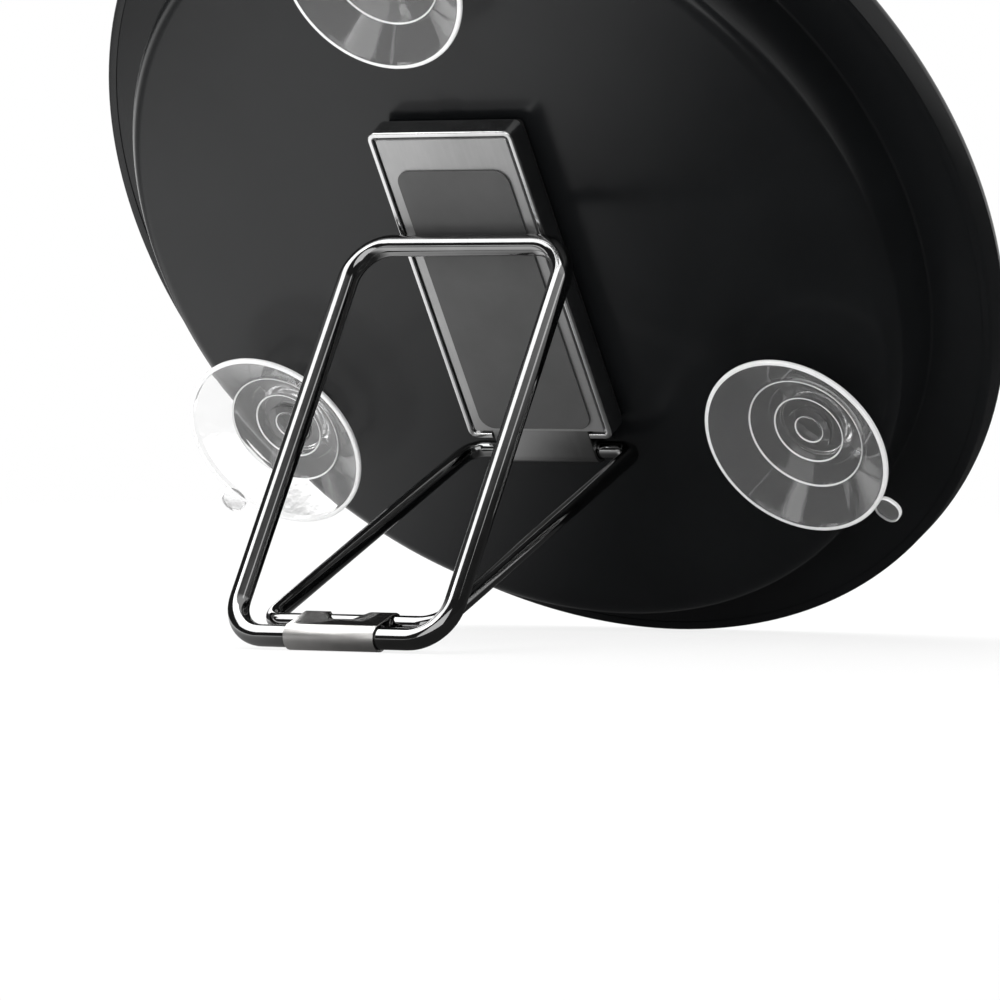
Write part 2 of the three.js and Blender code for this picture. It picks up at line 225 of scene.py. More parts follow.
# Floor, in metres: how clear it is, and for gloss its rise from shade, its dusk and its far shine
FLOOR_WIDTH = 8
FLOOR_CLEAR = 0.85
FLOOR_FADE = (0.4, 1.1)
SHADE_DIRECTION = (1, 0.2, 0)
SHADE_SPAN = (0, 0.09)
SHADE = (0.05, 1.3)
DUSK_SPAN = (0.155, 0.21)
DUSK_DARK = 0.3
SHINE_SPAN = (0.32, 0.6)
SHINE = 1.1


# Spaces

def joint_place(name):
    return Vector(next(j for j in frame["joints"] if j["name"] == name)["pos_m"])


def space(origin, right, up):
    """The matrix from a piece's own millimetres, with X to the right and Y up, to the frame."""
    right, up = Vector(right).normalized(), Vector(up).normalized()
    axes = Matrix((right, up, right.cross(up))).transposed().to_4x4()
    return Matrix.Translation(origin) @ axes @ Matrix.Scale(MM, 4)


def extent(node, own_space):
    """Lowest and highest corner of a CAD node in a piece's own space, in millimetres."""
    to_own = own_space.inverted()
    points = [to_own @ v.co for v in frame["nodes"][node].data.vertices]
    return (
        Vector([min(p[i] for p in points) for i in range(3)]),
        Vector([max(p[i] for p in points) for i in range(3)]),
    )


# To the right as seen from behind, out of the back as the cups' rims face, and up the back
RIGHT = Vector((-1, 0, 0))
OUT = Vector(frame["record"]["mounts"][0]["axis"]).normalized()
UP = OUT.cross(RIGHT)


def mirror_space():
    """Centred on the glass's disc, with Z zero where the bezel is widest."""
    low, high = extent("mirror_glass", space((0, 0, 0), RIGHT, UP))
    middle = (low + high) / 2 * MM
    rough = space(RIGHT * middle.x + UP * middle.y, RIGHT, UP)
    rim_radius = extent("front_bezel", rough)[1].x
    to_rough = rough.inverted()
    points = [to_rough @ v.co for v in frame["nodes"]["front_bezel"].data.vertices]
    level = max(p.z for p in points if math.hypot(p.x, p.y) > rim_radius - CLOSE)
    return rough @ Matrix.Translation((0, 0, level))


MIRROR = mirror_space()
ARM_HINGE = joint_place("arm_hinge")
CLIP_HINGE = joint_place("clip_hinge")
LOOP_HINGE = joint_place("loop_hinge")
ARM = space(ARM_HINGE, RIGHT, CLIP_HINGE - ARM_HINGE)
CLIP = space(CLIP_HINGE, RIGHT, CLIP_HINGE - ARM_HINGE)


def wire_radius(node, own_space):
    low, high = extent(node, own_space)
    return (high.z - low.z) / 2


def loop_space():
    """The loop leans from its foot at the hinge to its far bar, the highest thing on it."""
    low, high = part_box("wire_loop")
    radius = high.y - LOOP_HINGE.y
    far = Vector((0, low.y + radius, high.z - radius))
    return space(LOOP_HINGE, RIGHT, far - LOOP_HINGE)


LOOP = loop_space()


# Outlines

def filleted(corners, closed=True):
    """An outline whose corners (across, up, radius) are rounded where they have a radius."""
    outline = []
    last = len(corners) - 1
    for i, (across, up, *radius) in enumerate(corners):
        here = Vector((across, up))
        ends = not closed and i in (0, last)
        if not radius or ends:
            outline.append(here)
            continue
        before = (Vector(corners[i - 1][:2]) - here).normalized()
        after = (Vector(corners[(i + 1) % len(corners)][:2]) - here).normalized()
        half = before.angle(after) / 2
        middle = here + (before + after).normalized() * radius[0] / math.sin(half)
        start = here + before * radius[0] / math.tan(half) - middle
        sweep = math.pi - 2 * half
        turn = sweep if before.x * after.y - before.y * after.x < 0 else -sweep
        for step in range(FILLET_STEPS + 1):
            part = Matrix.Rotation(turn * step / FILLET_STEPS, 2)
            outline.append(middle + part @ start)
    return outline


def arc(across, up, radius, from_degrees, to_degrees, steps):
    """Points of an arc, anticlockwise where the second angle is the larger."""
    for step in range(steps + 1):
        angle = math.radians(from_degrees + (to_degrees - from_degrees) * step / steps)
        yield Vector((across + radius * math.cos(angle), up + radius * math.sin(angle)))


def rounded_rectangle(low, high, radius):
    """An anticlockwise outline between two opposite corners."""
    return [
        *arc(high.x - radius, low.y + radius, radius, -90, 0, BEND_STEPS),
        *arc(high.x - radius, high.y - radius, radius, 0, 90, BEND_STEPS),
        *arc(low.x + radius, high.y - radius, radius, 90, 180, BEND_STEPS),
        *arc(low.x + radius, low.y + radius, radius, 180, 270, BEND_STEPS),
    ]


# Meshes

def closed_shape(name, points, faces, own_space):
    """A new object whose faces look outward."""
    mesh = bpy.data.meshes.new(name)
    mesh.from_pydata([own_space @ Vector(p) for p in points], [], faces)
    editing = bmesh.new()
    editing.from_mesh(mesh)
    bmesh.ops.recalc_face_normals(editing, faces=editing.faces)
    editing.to_mesh(mesh)
    editing.free()
    made = bpy.data.objects.new(name, mesh)
    bpy.context.scene.collection.objects.link(made)
    return made


def make_piece(name, points, faces, own_space, material, slot, body, node):
    """A piece that rides on a body, and stands for a CAD node unless the node is None."""
    piece = closed_shape(name, points, faces, own_space)
    piece.data.materials.append(material)
    shade(piece)
    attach(piece, body)
    if node:
        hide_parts(node)
    return piece


def refinish(piece, own_space, material, belongs):
    """Gives a second material to faces whose centre and normal, in own space, pass a test."""
    piece.data.materials.append(material)
    to_own = own_space.inverted()
    turn = to_own.to_3x3()
    for face in piece.data.polygons:
        face.material_index = belongs(to_own @ face.center, (turn @ face.normal).normalized())


def shade(piece):
    piece.data.shade_smooth()
    piece.data.set_sharp_from_angle(angle=math.radians(SHARP_DEGREES))


def settle(piece):
    """Turns a piece's modifiers into its mesh."""
    graph = bpy.context.evaluated_depsgraph_get()
    mesh = bpy.data.meshes.new_from_object(piece.evaluated_get(graph))
    piece.modifiers.clear()
    piece.data = mesh
    shade(piece)


def bevel(piece, width):
    modifier = piece.modifiers.new("bevel", "BEVEL")
    modifier.width = width * MM
    modifier.segments = BEVEL_SEGMENTS
    modifier.limit_method = "ANGLE"
    modifier.angle_limit = math.radians(BEVEL_DEGREES)
    settle(piece)


def cut(piece, points, faces, own_space):
    """Takes a closed shape out of a piece."""
    cutter = closed_shape("cutter", points, faces, own_space)
    modifier = piece.modifiers.new("cut", "BOOLEAN")
    modifier.operation = "DIFFERENCE"
    modifier.solver = "EXACT"
    modifier.object = cutter
    settle(piece)
    bpy.data.objects.remove(cutter)


def even_angles(sides):
    return [math.tau * i / sides for i in range(sides)]


def turned(outline, angles, closed=True, centre=(0, 0)):
    """An outline of (radius, z) turned about Z; a point on the axis becomes a pole."""
    points, rows, faces = [], [], []
    for radius, z in outline:
        if radius < SAME:
            rows.append([len(points)] * len(angles))
            points.append((centre[0], centre[1], z))
            continue
        rows.append(range(len(points), len(points) + len(angles)))
        points.extend(
            (centre[0] + radius * math.cos(a), centre[1] + radius * math.sin(a), z)
            for a in angles
        )
    pairs = list(zip(rows, rows[1:] + rows[:1]))
    for low, high in pairs if closed else pairs[:-1]:
        for i in range(len(angles)):
            j = (i + 1) % len(angles)
            face = list(dict.fromkeys((low[i], low[j], high[j], high[i])))
            if len(face) > 2:
                faces.append(face)
    return points, faces


def stacked(loops, ring=False):
    """Closed loops with equal counts of points joined one to the next, capped unless a ring."""
    count = len(loops[0])
    points = [p for loop in loops for p in loop]
    faces = []
    for k in range(len(loops) if ring else len(loops) - 1):
        here, there = k * count, (k + 1) % len(loops) * count
        for i in range(count):
            j = (i + 1) % count
            faces.append((here + i, here + j, there + j, there + i))
    if not ring:
        faces.append(tuple(range(count)))
        faces.append(tuple(range((len(loops) - 1) * count, len(loops) * count)))
    return points, faces


def layered(low, high, corner, layers):
    """Rounded rectangles, each inset by its layer's first value at its second value's height."""
    loops = []
    for inset, z in layers:
        step = Vector((inset, inset))
        radius = max(corner - inset, corner * LEAST_CORNER)
        outline = rounded_rectangle(low.xy + step, high.xy - step, radius)
        loops.append([(p.x, p.y, z) for p in outline])
    return stacked(loops)


def prism(outline, half_width):
    """A side outline of (y, z) spread evenly to both sides of the middle."""
    return stacked([[(x, p.x, p.y) for p in outline] for x in (-half_width, half_width)])


def wire(half_width, length, corner, radius):
    """A closed round wire along a rounded rectangle whose near bar lies on the X axis."""
    stations = []
    bends = (
        (half_width - corner, corner, -90),
        (half_width - corner, length - corner, 0),
        (corner - half_width, length - corner, 90),
        (corner - half_width, corner, 180),
    )
    for x, y, start in bends:
        for step, place in enumerate(arc(x, y, corner, start, start + 90, BEND_STEPS)):
            heading = math.radians(start + 90 * step / BEND_STEPS)
            stations.append((place, Vector((math.cos(heading), math.sin(heading)))))
    loops = []
    for place, outward in stations:
        loop = []
        for angle in even_angles(WIRE_SIDES):
            point = place + outward * radius * math.cos(angle)
            loop.append((point.x, point.y, radius * math.sin(angle)))
        loops.append(loop)
    return stacked(loops, ring=True)


def rolled(centre, outer, inner, from_degrees, to_degrees):
    """The outer and the inner side of a sheet rolled about a centre."""
    return (
        list(arc(*centre, outer, from_degrees, to_degrees, ROLL_STEPS)),
        list(arc(*centre, inner, from_degrees, to_degrees, ROLL_STEPS)),
    )


# Materials

class Finish:
    """A material whose colour, roughness and relief come from nodes in the piece's own place."""

    def __init__(self, name):
        self.material = bpy.data.materials.new(name)
        self.material.use_nodes = True
        self.nodes = self.material.node_tree.nodes
        self.links = self.material.node_tree.links
        self.shader = self.nodes["Principled BSDF"]
        self.place = self.nodes.new("ShaderNodeTexCoord").outputs["Object"]

    def noise(self, grain, detail=3, stretch=(1, 1, 1), lean=0):
        """A soft pattern whose features are about as wide as the grain, in metres."""
        mapping = self.nodes.new("ShaderNodeMapping")
        mapping.vector_type = "TEXTURE"
        mapping.inputs["Scale"].default_value = [grain * s for s in stretch]
        mapping.inputs["Rotation"].default_value[0] = lean
        self.links.new(self.place, mapping.inputs["Vector"])
        noise = self.nodes.new("ShaderNodeTexNoise")
        noise.inputs["Scale"].default_value = 1
        noise.inputs["Detail"].default_value = detail
        self.links.new(mapping.outputs["Vector"], noise.inputs["Vector"])
        return noise.outputs["Fac"]

    def cells(self, grain):
        """Round pores about as wide as the grain, in metres."""
        cells = self.nodes.new("ShaderNodeTexVoronoi")
        cells.inputs["Scale"].default_value = 1 / grain
        self.links.new(self.place, cells.inputs["Vector"])
        return cells.outputs["Distance"]

    def spread(self, factor, low, high):
        """A factor, which stays near its middle, opened out to a range of values."""
        span = self.nodes.new("ShaderNodeMapRange")
        span.inputs["From Min"].default_value = NOISE_LOW
        span.inputs["From Max"].default_value = NOISE_HIGH
        span.inputs["To Min"].default_value = low
        span.inputs["To Max"].default_value = high
        self.links.new(factor, span.inputs["Value"])
        return span.outputs["Result"]

    def colour(self, factor, one, other):
        mix = self.nodes.new("ShaderNodeMix")
        mix.data_type = "RGBA"
        mix.inputs["A"].default_value = (*one, 1)
        mix.inputs["B"].default_value = (*other, 1)
        self.links.new(self.spread(factor, 0, 1), mix.inputs["Factor"])
        self.links.new(mix.outputs["Result"], self.shader.inputs["Base Color"])

    def roughness(self, factor, low, high):
        self.links.new(self.spread(factor, low, high), self.shader.inputs["Roughness"])

    def relief(self, factor, depth, strength=1):
        bump = self.nodes.new("ShaderNodeBump")
        bump.inputs["Distance"].default_value = depth
        bump.inputs["Strength"].default_value = strength
        self.links.new(factor, bump.inputs["Height"])
        self.links.new(bump.outputs["Normal"], self.shader.inputs["Normal"])

    def set(self, **values):
        for name, value in values.items():
            self.shader.inputs[name.replace("_", " ")].default_value = value


def grey(value, warmth=0):
    return (value * (1 + warmth), value, value * (1 - warmth))


def casing_plastic():
    finish = Finish("casing_plastic")
    finish.set(IOR=1.38)
    finish.colour(finish.noise(0.03), grey(0.0045, -0.08), grey(0.007, -0.08))
    finish.roughness(finish.noise(0.004), 0.22, 0.27)
    finish.relief(finish.noise(0.003, 1), 0.00001, 0.4)
    return finish.material


def silvered_glass():
    finish = Finish("silvered_glass")
    finish.set(Metallic=1, Coat_Weight=1, Coat_Roughness=0.01)
    finish.colour(finish.noise(0.05), grey(0.9), grey(0.93))
    finish.roughness(finish.noise(0.02), 0.01, 0.02)
    finish.relief(finish.noise(0.02), 0.000002, 0.2)
    return finish.material


def vinyl_painted_highlight():
    """Painted highlight: a whiter, less clear vinyl for thin rims, rings and edges, where they would gather the
    light.
    """
    finish = Finish("vinyl_painted_highlight")
    finish.set(Transmission_Weight=0.15, IOR=1.5)
    finish.colour(finish.noise(0.002), grey(0.88), grey(0.97))
    finish.roughness(finish.noise(0.002), 0.15, 0.25)
    finish.relief(finish.noise(0.001), 0.00003, 0.3)
    return finish.material


def clear_vinyl():
    finish = Finish("clear_vinyl")
    finish.set(Transmission_Weight=0.94, IOR=1.5)
    finish.colour(finish.noise(0.006), grey(0.97), grey(0.99))
    finish.roughness(finish.noise(0.003), 0.02, 0.06)
    finish.relief(finish.noise(0.004), 0.00005, 0.3)
    return finish.material


def dark_foam():
    finish = Finish("dark_foam")
    finish.colour(finish.cells(0.0003), grey(0.008), grey(0.02))
    finish.roughness(finish.noise(0.0005), 0.85, 0.95)
    finish.relief(finish.cells(0.0003), 0.0001)
    return finish.material


def gunmetal(name, light, low, high):
    """Dark metal finely brushed up the leaning back, between a low and a high roughness."""
    lean = math.atan2(UP.y, UP.z)
    finish = Finish(name)
    finish.set(Metallic=1)
    finish.colour(finish.noise(0.006), grey(light * 0.94), grey(light * 1.05))
    finish.roughness(finish.noise(0.0004, 2, (1, 14, 14), lean), low, high)
    finish.relief(finish.noise(0.0002, 2, (1, 20, 20), lean), 0.000003, 0.4)
    return finish.material


def grey_film():
    finish = Finish("grey_film")
    finish.colour(finish.noise(0.01), grey(0.055), grey(0.067))
    finish.roughness(finish.noise(0.002), 0.42, 0.52)
    finish.relief(finish.noise(0.0003), 0.000008, 0.4)
    return finish.material


def black_chrome():
    finish = Finish("black_chrome")
    finish.set(Metallic=1)
    finish.colour(finish.noise(0.004), grey(0.23), grey(0.26))
    finish.roughness(finish.noise(0.002), 0.05, 0.09)
    finish.relief(finish.noise(0.0015), 0.000006, 0.3)
    return finish.material


def steel(name, light, low, high):
    """Metal finely brushed along the clip, between a low and a high roughness."""
    finish = Finish(name)
    finish.set(Metallic=1)
    finish.colour(finish.noise(0.003), grey(light * 0.93, 0.02), grey(light * 1.07, 0.02))
    finish.roughness(finish.noise(0.0005, 2, (10, 1, 1)), low, high)
    finish.relief(finish.noise(0.0003, 2, (12, 1, 1)), 0.000004, 0.4)
    return finish.material


# Pieces of the mirror

def bezel(material):
    low, high = extent("front_bezel", MIRROR)
    crown = -low.z - RIM_EASE
    rim = high.x - RIM_EASE
    window = high.x - LIP_WIDTH
    back = high.x - RIM_TAPER - RIM_EASE
    top = high.z - RIM_EASE
    inner = back - RIM_WALL
    under_lip = LIP_THICKNESS + low.z
    outline = filleted([
        (window, -crown, LIP_ROUND),
        (rim, -crown, crown - CLOSE),
        (rim, 0, crown * RIM_SIDE_SHARE),
        (back, top, RIM_EDGE_ROUND),
        (inner, top, BRIM_EDGE_ROUND),
        (inner, under_lip),
        (window, under_lip, LIP_ROUND / 2),
    ])
    shape = turned(outline, even_angles(DISC_SIDES))
    make_piece("bezel_ring", *shape, MIRROR, material, "casing", "mirror", "front_bezel")


def dish(radius, edge_radius, curvature):
    """How much deeper a dished disc lies at a radius than at its edge."""
    return math.sqrt(curvature ** 2 - radius ** 2) - math.sqrt(curvature ** 2 - edge_radius ** 2)


def glass_curvature():
    low, high = extent("mirror_glass", MIRROR)
    rise = high.z - low.z - GLASS_THICKNESS
    return (high.x ** 2 + rise ** 2) / (2 * rise)


def glass(material):
    low, high = extent("mirror_glass", MIRROR)
    curvature = glass_curvature()
    radii = [high.x * i / GLASS_STEPS for i in range(GLASS_STEPS + 1)]
    front = [(r, low.z + dish(r, high.x, curvature)) for r in radii]
    back = [(r, z + GLASS_THICKNESS) for r, z in reversed(front)]
    corners = [*front[:-1], (*front[-1], GLASS_EDGE_ROUND), (*back[0], GLASS_EDGE_ROUND), *back[1:]]
    shape = turned(filleted(corners, closed=False), even_angles(DISC_SIDES), closed=False)
    make_piece("dished_glass", *shape, MIRROR, material, "mirror", "mirror", "mirror_glass")


def foam_ring(material):
    low, high = extent("glass_foam_ring", MIRROR)
    outer, inner = high.x, high.x - FOAM_WIDTH
    slope = dish(inner, outer, glass_curvature())
    outline = filleted([
        (inner, low.z + slope, FOAM_ROUND),
        (outer, low.z, FOAM_ROUND),
        (outer, high.z, FOAM_ROUND),
        (inner, high.z, FOAM_ROUND),
    ])
    shape = turned(outline, even_angles(DISC_SIDES))
    ring = make_piece("foam_ring", *shape, MIRROR, material, "foam", "mirror", "glass_foam_ring")


def cup_centre(cup):
    angle = math.radians(cup["angle"])
    circle = BOSS_RADIUS - CUP_EDGE_OFFSET
    return Vector((circle * math.cos(angle), circle * math.sin(angle)))


def shell(material):
    high = extent("rear_shell", MIRROR)[1]
    back = high.z
    brim_top = back - BOSS_HEIGHT
    brim_under = brim_top - BRIM_THICKNESS
    brim = high.x - BRIM_GAP
    inner = BOSS_RADIUS - SHELL_WALL
    outline = filleted([
        (0, back - SHELL_WALL),
        (inner, back - SHELL_WALL, SHELL_INNER_FILLET),
        (inner, brim_under, SHELL_INNER_EDGE),
        (brim, brim_under, BRIM_EDGE_ROUND),
        (brim, brim_top, BRIM_EDGE_ROUND),
        (BOSS_RADIUS, brim_top, BOSS_ROOT_FILLET),
        (BOSS_RADIUS, back, BOSS_FILLET),
        (0, back),
    ], closed=False)
    shape = turned(outline, even_angles(DISC_SIDES), closed=False)
    cover = make_piece("back_cover", *shape, MIRROR, material, "casing", "mirror", "rear_shell")
    for cup in CUPS:
        hole = [
            (0, back - 2 * SHELL_WALL),
            (CUP_NECK_RADIUS + CUP_SEAT_GAP, back - 2 * SHELL_WALL),
            (CUP_NECK_RADIUS + CUP_SEAT_GAP, back + SHELL_WALL),
            (0, back + SHELL_WALL),
        ]
        shape = turned(hole, even_angles(WIRE_SIDES), closed=False, centre=cup_centre(cup))
        cut(cover, *shape, MIRROR)


def bead(radius, height, slope_in, slope_out):
    """A small raised ring on a wall, listed from its outer side to its inner side."""
    half = CUP_BEAD_WIDTH / 2
    outer, inner = height + half * slope_out, height - half * slope_in
    return [
        (radius + half, outer),
        (radius + half / 3, outer + CUP_BEAD_HEIGHT),
        (radius - half / 3, inner + CUP_BEAD_HEIGHT),
        (radius - half, inner),
    ]


def cup_outline(radius, height):
    """From the middle of the head, round the back of the dish and over its lip to the nipple.

    It comes with the two radii between which the seam runs.
    """
    head_top = -SHELL_WALL - CUP_SEAT_GAP
    lip_under = height - CUP_LIP_DEPTH
    nipple_top = CUP_FLOOR_HEIGHT + CUP_NIPPLE_HEIGHT
    lip_radius = radius - CUP_LIP_WIDTH
    slope = (height - CUP_THROAT_HEIGHT) / (lip_radius - CUP_THROAT_RADIUS)
    floor_run = CUP_THROAT_RADIUS - CUP_NIPPLE_RADIUS
    floor_slope = (CUP_THROAT_HEIGHT - CUP_FLOOR_HEIGHT) / floor_run
    ring_height = CUP_THROAT_HEIGHT - (CUP_THROAT_RADIUS - CUP_RING_RADIUS) * floor_slope
    seam_start = CUP_THROAT_RADIUS + CUP_SEAM_MARGIN
    seam_end = lip_radius - CUP_SEAM_MARGIN
    groove = CUP_GROOVE_RADIUS
    corners = [
        (0, head_top - CUP_HEAD_HEIGHT),
        (CUP_HEAD_RADIUS, head_top - CUP_HEAD_HEIGHT, CUP_HEAD_ROUND),
        (CUP_HEAD_RADIUS, head_top, CUP_SMALL_ROUND),
        (CUP_NECK_RADIUS, head_top, CUP_SMALL_ROUND),
        (CUP_NECK_RADIUS, CUP_SEAT_GAP, CUP_SMALL_ROUND),
        (CUP_SEAT_RADIUS, CUP_SEAT_GAP, CUP_SEAT_ROUND),
        (CUP_SEAT_RADIUS, CUP_SEAT_HEIGHT, CUP_SEAT_TOP_ROUND),
        (CUP_THROAT_RADIUS, CUP_THROAT_HEIGHT - CUP_WALL, CUP_WALL_ROUND),
        (radius - CUP_LIP_DEPTH, lip_under - CUP_LIP_DEPTH, CUP_LIP_UNDER_ROUND),
        (radius, lip_under, CUP_LIP_ROUND),
        (radius, height, CUP_LIP_ROUND),
        (lip_radius, height, CUP_LIP_ROUND),
        (seam_end, height - CUP_SEAM_MARGIN * slope),
        (seam_start, CUP_THROAT_HEIGHT + CUP_SEAM_MARGIN * slope),
        *bead(CUP_THROAT_RADIUS, CUP_THROAT_HEIGHT, floor_slope, slope),
        *bead(CUP_RING_RADIUS, ring_height, floor_slope, floor_slope),
        (CUP_NIPPLE_RADIUS, CUP_FLOOR_HEIGHT, CUP_NIPPLE_ROOT),
        (CUP_NIPPLE_RADIUS, nipple_top, CUP_SMALL_ROUND),
        (groove + CUP_GROOVE_WIDTH / 2, nipple_top, CUP_GROOVE_ROUND),
        (groove, nipple_top - CUP_GROOVE_DEPTH, CUP_GROOVE_ROUND),
        (groove - CUP_GROOVE_WIDTH / 2, nipple_top, CUP_GROOVE_ROUND),
        (0, nipple_top),
    ]
    return filleted(corners, closed=False), (seam_start, seam_end)


def raised(point, seam, radii):
    """Lifts the points of the seam's own column where the seam runs."""
    x, y, z = point
    on_seam = abs(math.remainder(math.atan2(y, x) - seam, math.tau)) < SAME
    on_wall = any(abs(math.hypot(x, y) - r) < SAME for r in radii)
    return (x, y, z + CUP_SEAM_RISE) if on_seam and on_wall else point


def cup_space(cup):
    """On the casing's back, with Z along the cup's axis and X towards its pull tab."""
    back = extent("rear_shell", MIRROR)[1].z
    own = MIRROR @ Matrix.Translation((*cup_centre(cup), back))
    return own @ Matrix.Rotation(math.radians(cup["angle"] + cup["tab_turn"]), 4, "Z")


def on_painted_highlight(centre, normal, radius, height):
    """Whether a face is on the lip, or inside the dish on a bead or on the groove's outer side, where the
    highlight is painted.
    """
    place = math.hypot(centre.x, centre.y)
    on_lip = place > radius - CUP_LIP_WIDTH and centre.z > height - CUP_LIP_DEPTH
    inside = normal.z > 0 and centre.z > CUP_FLOOR_HEIGHT
    on_bead = any(
        abs(place - bead_radius) < CUP_BEAD_WIDTH / 2
        for bead_radius in (CUP_THROAT_RADIUS, CUP_RING_RADIUS)
    )
    on_groove = CUP_GROOVE_RADIUS < place < CUP_GROOVE_RADIUS + CUP_GROOVE_WIDTH / 2
    return on_lip or inside and (on_bead or on_groove)


def cup_dish(cup, own, material, highlight_paint_material):
    """A dish with a fine mould seam up its wall."""
    high = extent(cup["node"], own)[1]
    outline, seam_radii = cup_outline(high.y, high.z)
    seam = math.radians(cup["seam"] - cup["angle"] - cup["tab_turn"]) % math.tau
    beside = math.radians(CUP_SEAM_DEGREES)
    plain = [a for a in even_angles(CUP_SIDES) if abs(a - seam) > beside]
    angles = sorted([*plain, seam - beside, seam, seam + beside])
    points, faces = turned(outline, angles, closed=False)
    points = [raised(p, seam, seam_radii) for p in points]
    name = cup["node"].replace("suction_cup", "cup_dish")
    dish_piece = make_piece(
        name, points, faces, own, material, "clear_vinyl", "mirror", cup["node"],
    )
    # Painted highlight: the lip, the beads and the groove's outer side take the whiter vinyl
    refinish(
        dish_piece, own, highlight_paint_material,
        lambda centre, normal: on_painted_highlight(centre, normal, high.y, high.z),
    )


def cup_tab(cup, own, material, highlight_paint_material):
    """A flat pull tab that leaves the cup's rim along X, with a painted highlight on its edge."""
    high = extent(cup["node"], own)[1]
    top = high.z - TAB_DROP
    tab_low = Vector((high.y - CUP_LIP_DEPTH, -TAB_WIDTH / 2))
    tab_high = Vector((high.x, TAB_WIDTH / 2))
    shape = layered(tab_low, tab_high, TAB_CORNER, (
        (TAB_ROUND, top - TAB_THICKNESS),
        (0, top - TAB_THICKNESS + TAB_ROUND),
        (0, top - TAB_ROUND),
        (TAB_ROUND, top),
    ))
    name = cup["node"].replace("suction_cup", "cup_tab")
    tab_piece = make_piece(name, *shape, own, material, "clear_vinyl", "mirror", None)
    # Painted highlight: the tab's sides take the whiter vinyl
    refinish(
        tab_piece, own, highlight_paint_material,
        lambda centre, normal: abs(normal.z) < TAB_FLAT_COSINE,
    )


def suction_cup(cup, material, highlight_paint_material):
    own = cup_space(cup)
    cup_dish(cup, own, material, highlight_paint_material)
    cup_tab(cup, own, material, highlight_paint_material)


def adhesive_pad(material):
    low, high = extent("adhesive_pad", MIRROR)
    shape = layered(low, high, PAD_CORNER, (
        (PAD_BULGE, low.z),
        (0, (2 * low.z + high.z) / 3),
        (0, (low.z + 2 * high.z) / 3),
        (PAD_BULGE, high.z),
    ))
    pad = make_piece("foam_pad", *shape, MIRROR, material, "foam", "mirror", "adhesive_pad")


def quarter(inset, z, radius, outward):
    """Layers that round an upper edge, from its side to its top or from its top down inside."""
    layers = []
    for step in range(FILLET_STEPS + 1):
        angle = math.pi / 2 * step / FILLET_STEPS
        by_sine, by_cosine = radius * (1 - math.sin(angle)), radius * (1 - math.cos(angle))
        layers.append(
            (inset + by_cosine, z - by_sine) if outward else (inset - by_sine, z - by_cosine)
        )
    return layers


def tray(material):
    """A shallow tray with a raised rim, open at its lower edge where the tongue passes out."""
    low, high = extent("base_tray", MIRROR)
    floor = high.z - TRAY_FLOOR_DEPTH
    shape = layered(low, high, PLATE_CORNER, (
        (TRAY_RIM_ROUND, low.z),
        (0, low.z + TRAY_RIM_ROUND),
        *quarter(0, high.z, TRAY_EDGE_ROUND, outward=True),
        *quarter(TRAY_RIM_WIDTH, high.z, TRAY_RIM_ROUND, outward=False),
        (TRAY_RIM_WIDTH, floor),
    ))
    body = make_piece("mount_tray", *shape, MIRROR, material, "plate_metal", "mirror", "base_tray")
    gate_half = tongue_half_width() + GATE_GAP
    gate_start, gate_end = low.y - OVERRUN, low.y + 2 * TRAY_RIM_WIDTH
    gate = [
        [
            (-gate_half, gate_start, z),
            (gate_half, gate_start, z),
            (gate_half, gate_end, z),
            (-gate_half, gate_end, z),
        ]
        for z in (floor, high.z + OVERRUN)
    ]
    cut(body, *stacked(gate), MIRROR)


def tongue_half_width():
    """Half the width of the rolled tongue, the part of the hinge plate beyond the tray."""
    tray_low = extent("base_tray", MIRROR)[0].y
    to_own = MIRROR.inverted()
    points = [to_own @ v.co for v in frame["nodes"]["hinge_plate"].data.vertices]
    return max(p.x for p in points if p.y < tray_low)


def inlaid_sheet(material):
    low, high = extent("base_tray", MIRROR)
    top = extent("hinge_plate", MIRROR)[1].z
    inset = Vector((SHEET_INSET, SHEET_INSET, 0))
    shape = layered(low + inset, high - inset, SHEET_CORNER, (
        (0, top - SHEET_THICKNESS),
        (0, top - SHEET_BEVEL),
        (SHEET_BEVEL, top),
    ))
    make_piece("inlaid_sheet", *shape, MIRROR, material, "plate_metal", "mirror", "hinge_plate")


def rolled_tongue(material):
    """The hinge plate's tongue, which leaves the tray and rolls round the arm's near bar."""
    start = extent("base_tray", MIRROR)[0].y + SHEET_INSET + TONGUE_OVERLAP
    top = extent("hinge_plate", MIRROR)[1].z
    under = top - SHEET_THICKNESS
    hinge = MIRROR.inverted() @ ARM_HINGE
    bore = wire_radius("arm_frame", ARM) + BARREL_CLEARANCE
    barrel = bore + SHEET_THICKNESS
    outer, inner = rolled((hinge.y, hinge.z), barrel, bore, 90, 90 + ROLL_SWEEP)
    outline = [
        Vector((start, top - SHEET_BEVEL)),
        *outer,
        *reversed(inner),
        Vector((start, under - SHEET_BEVEL)),
    ]
    tongue = make_piece(
        "rolled_tongue", *prism(outline, tongue_half_width()), MIRROR, material,
        "plate_metal", "mirror", None,
    )
    bevel(tongue, TONGUE_BEVEL)


def label(material):
    low, high = extent("label_film", MIRROR)
    shape = layered(low, high, LABEL_CORNER, (
        (0, low.z),
        (0, high.z - LABEL_ROUND),
        (LABEL_ROUND, high.z),
    ))
    make_piece("bare_label", *shape, MIRROR, material, "film", "mirror", "label_film")


# Pieces of the stand

def wire_frame(name, node, own_space, corner, material, body):
    high = extent(node, own_space)[1]
    radius = wire_radius(node, own_space)
    shape = wire(high.x - radius, high.y - radius, corner, radius)
    make_piece(name, *shape, own_space, material, "black_chrome", body, node)


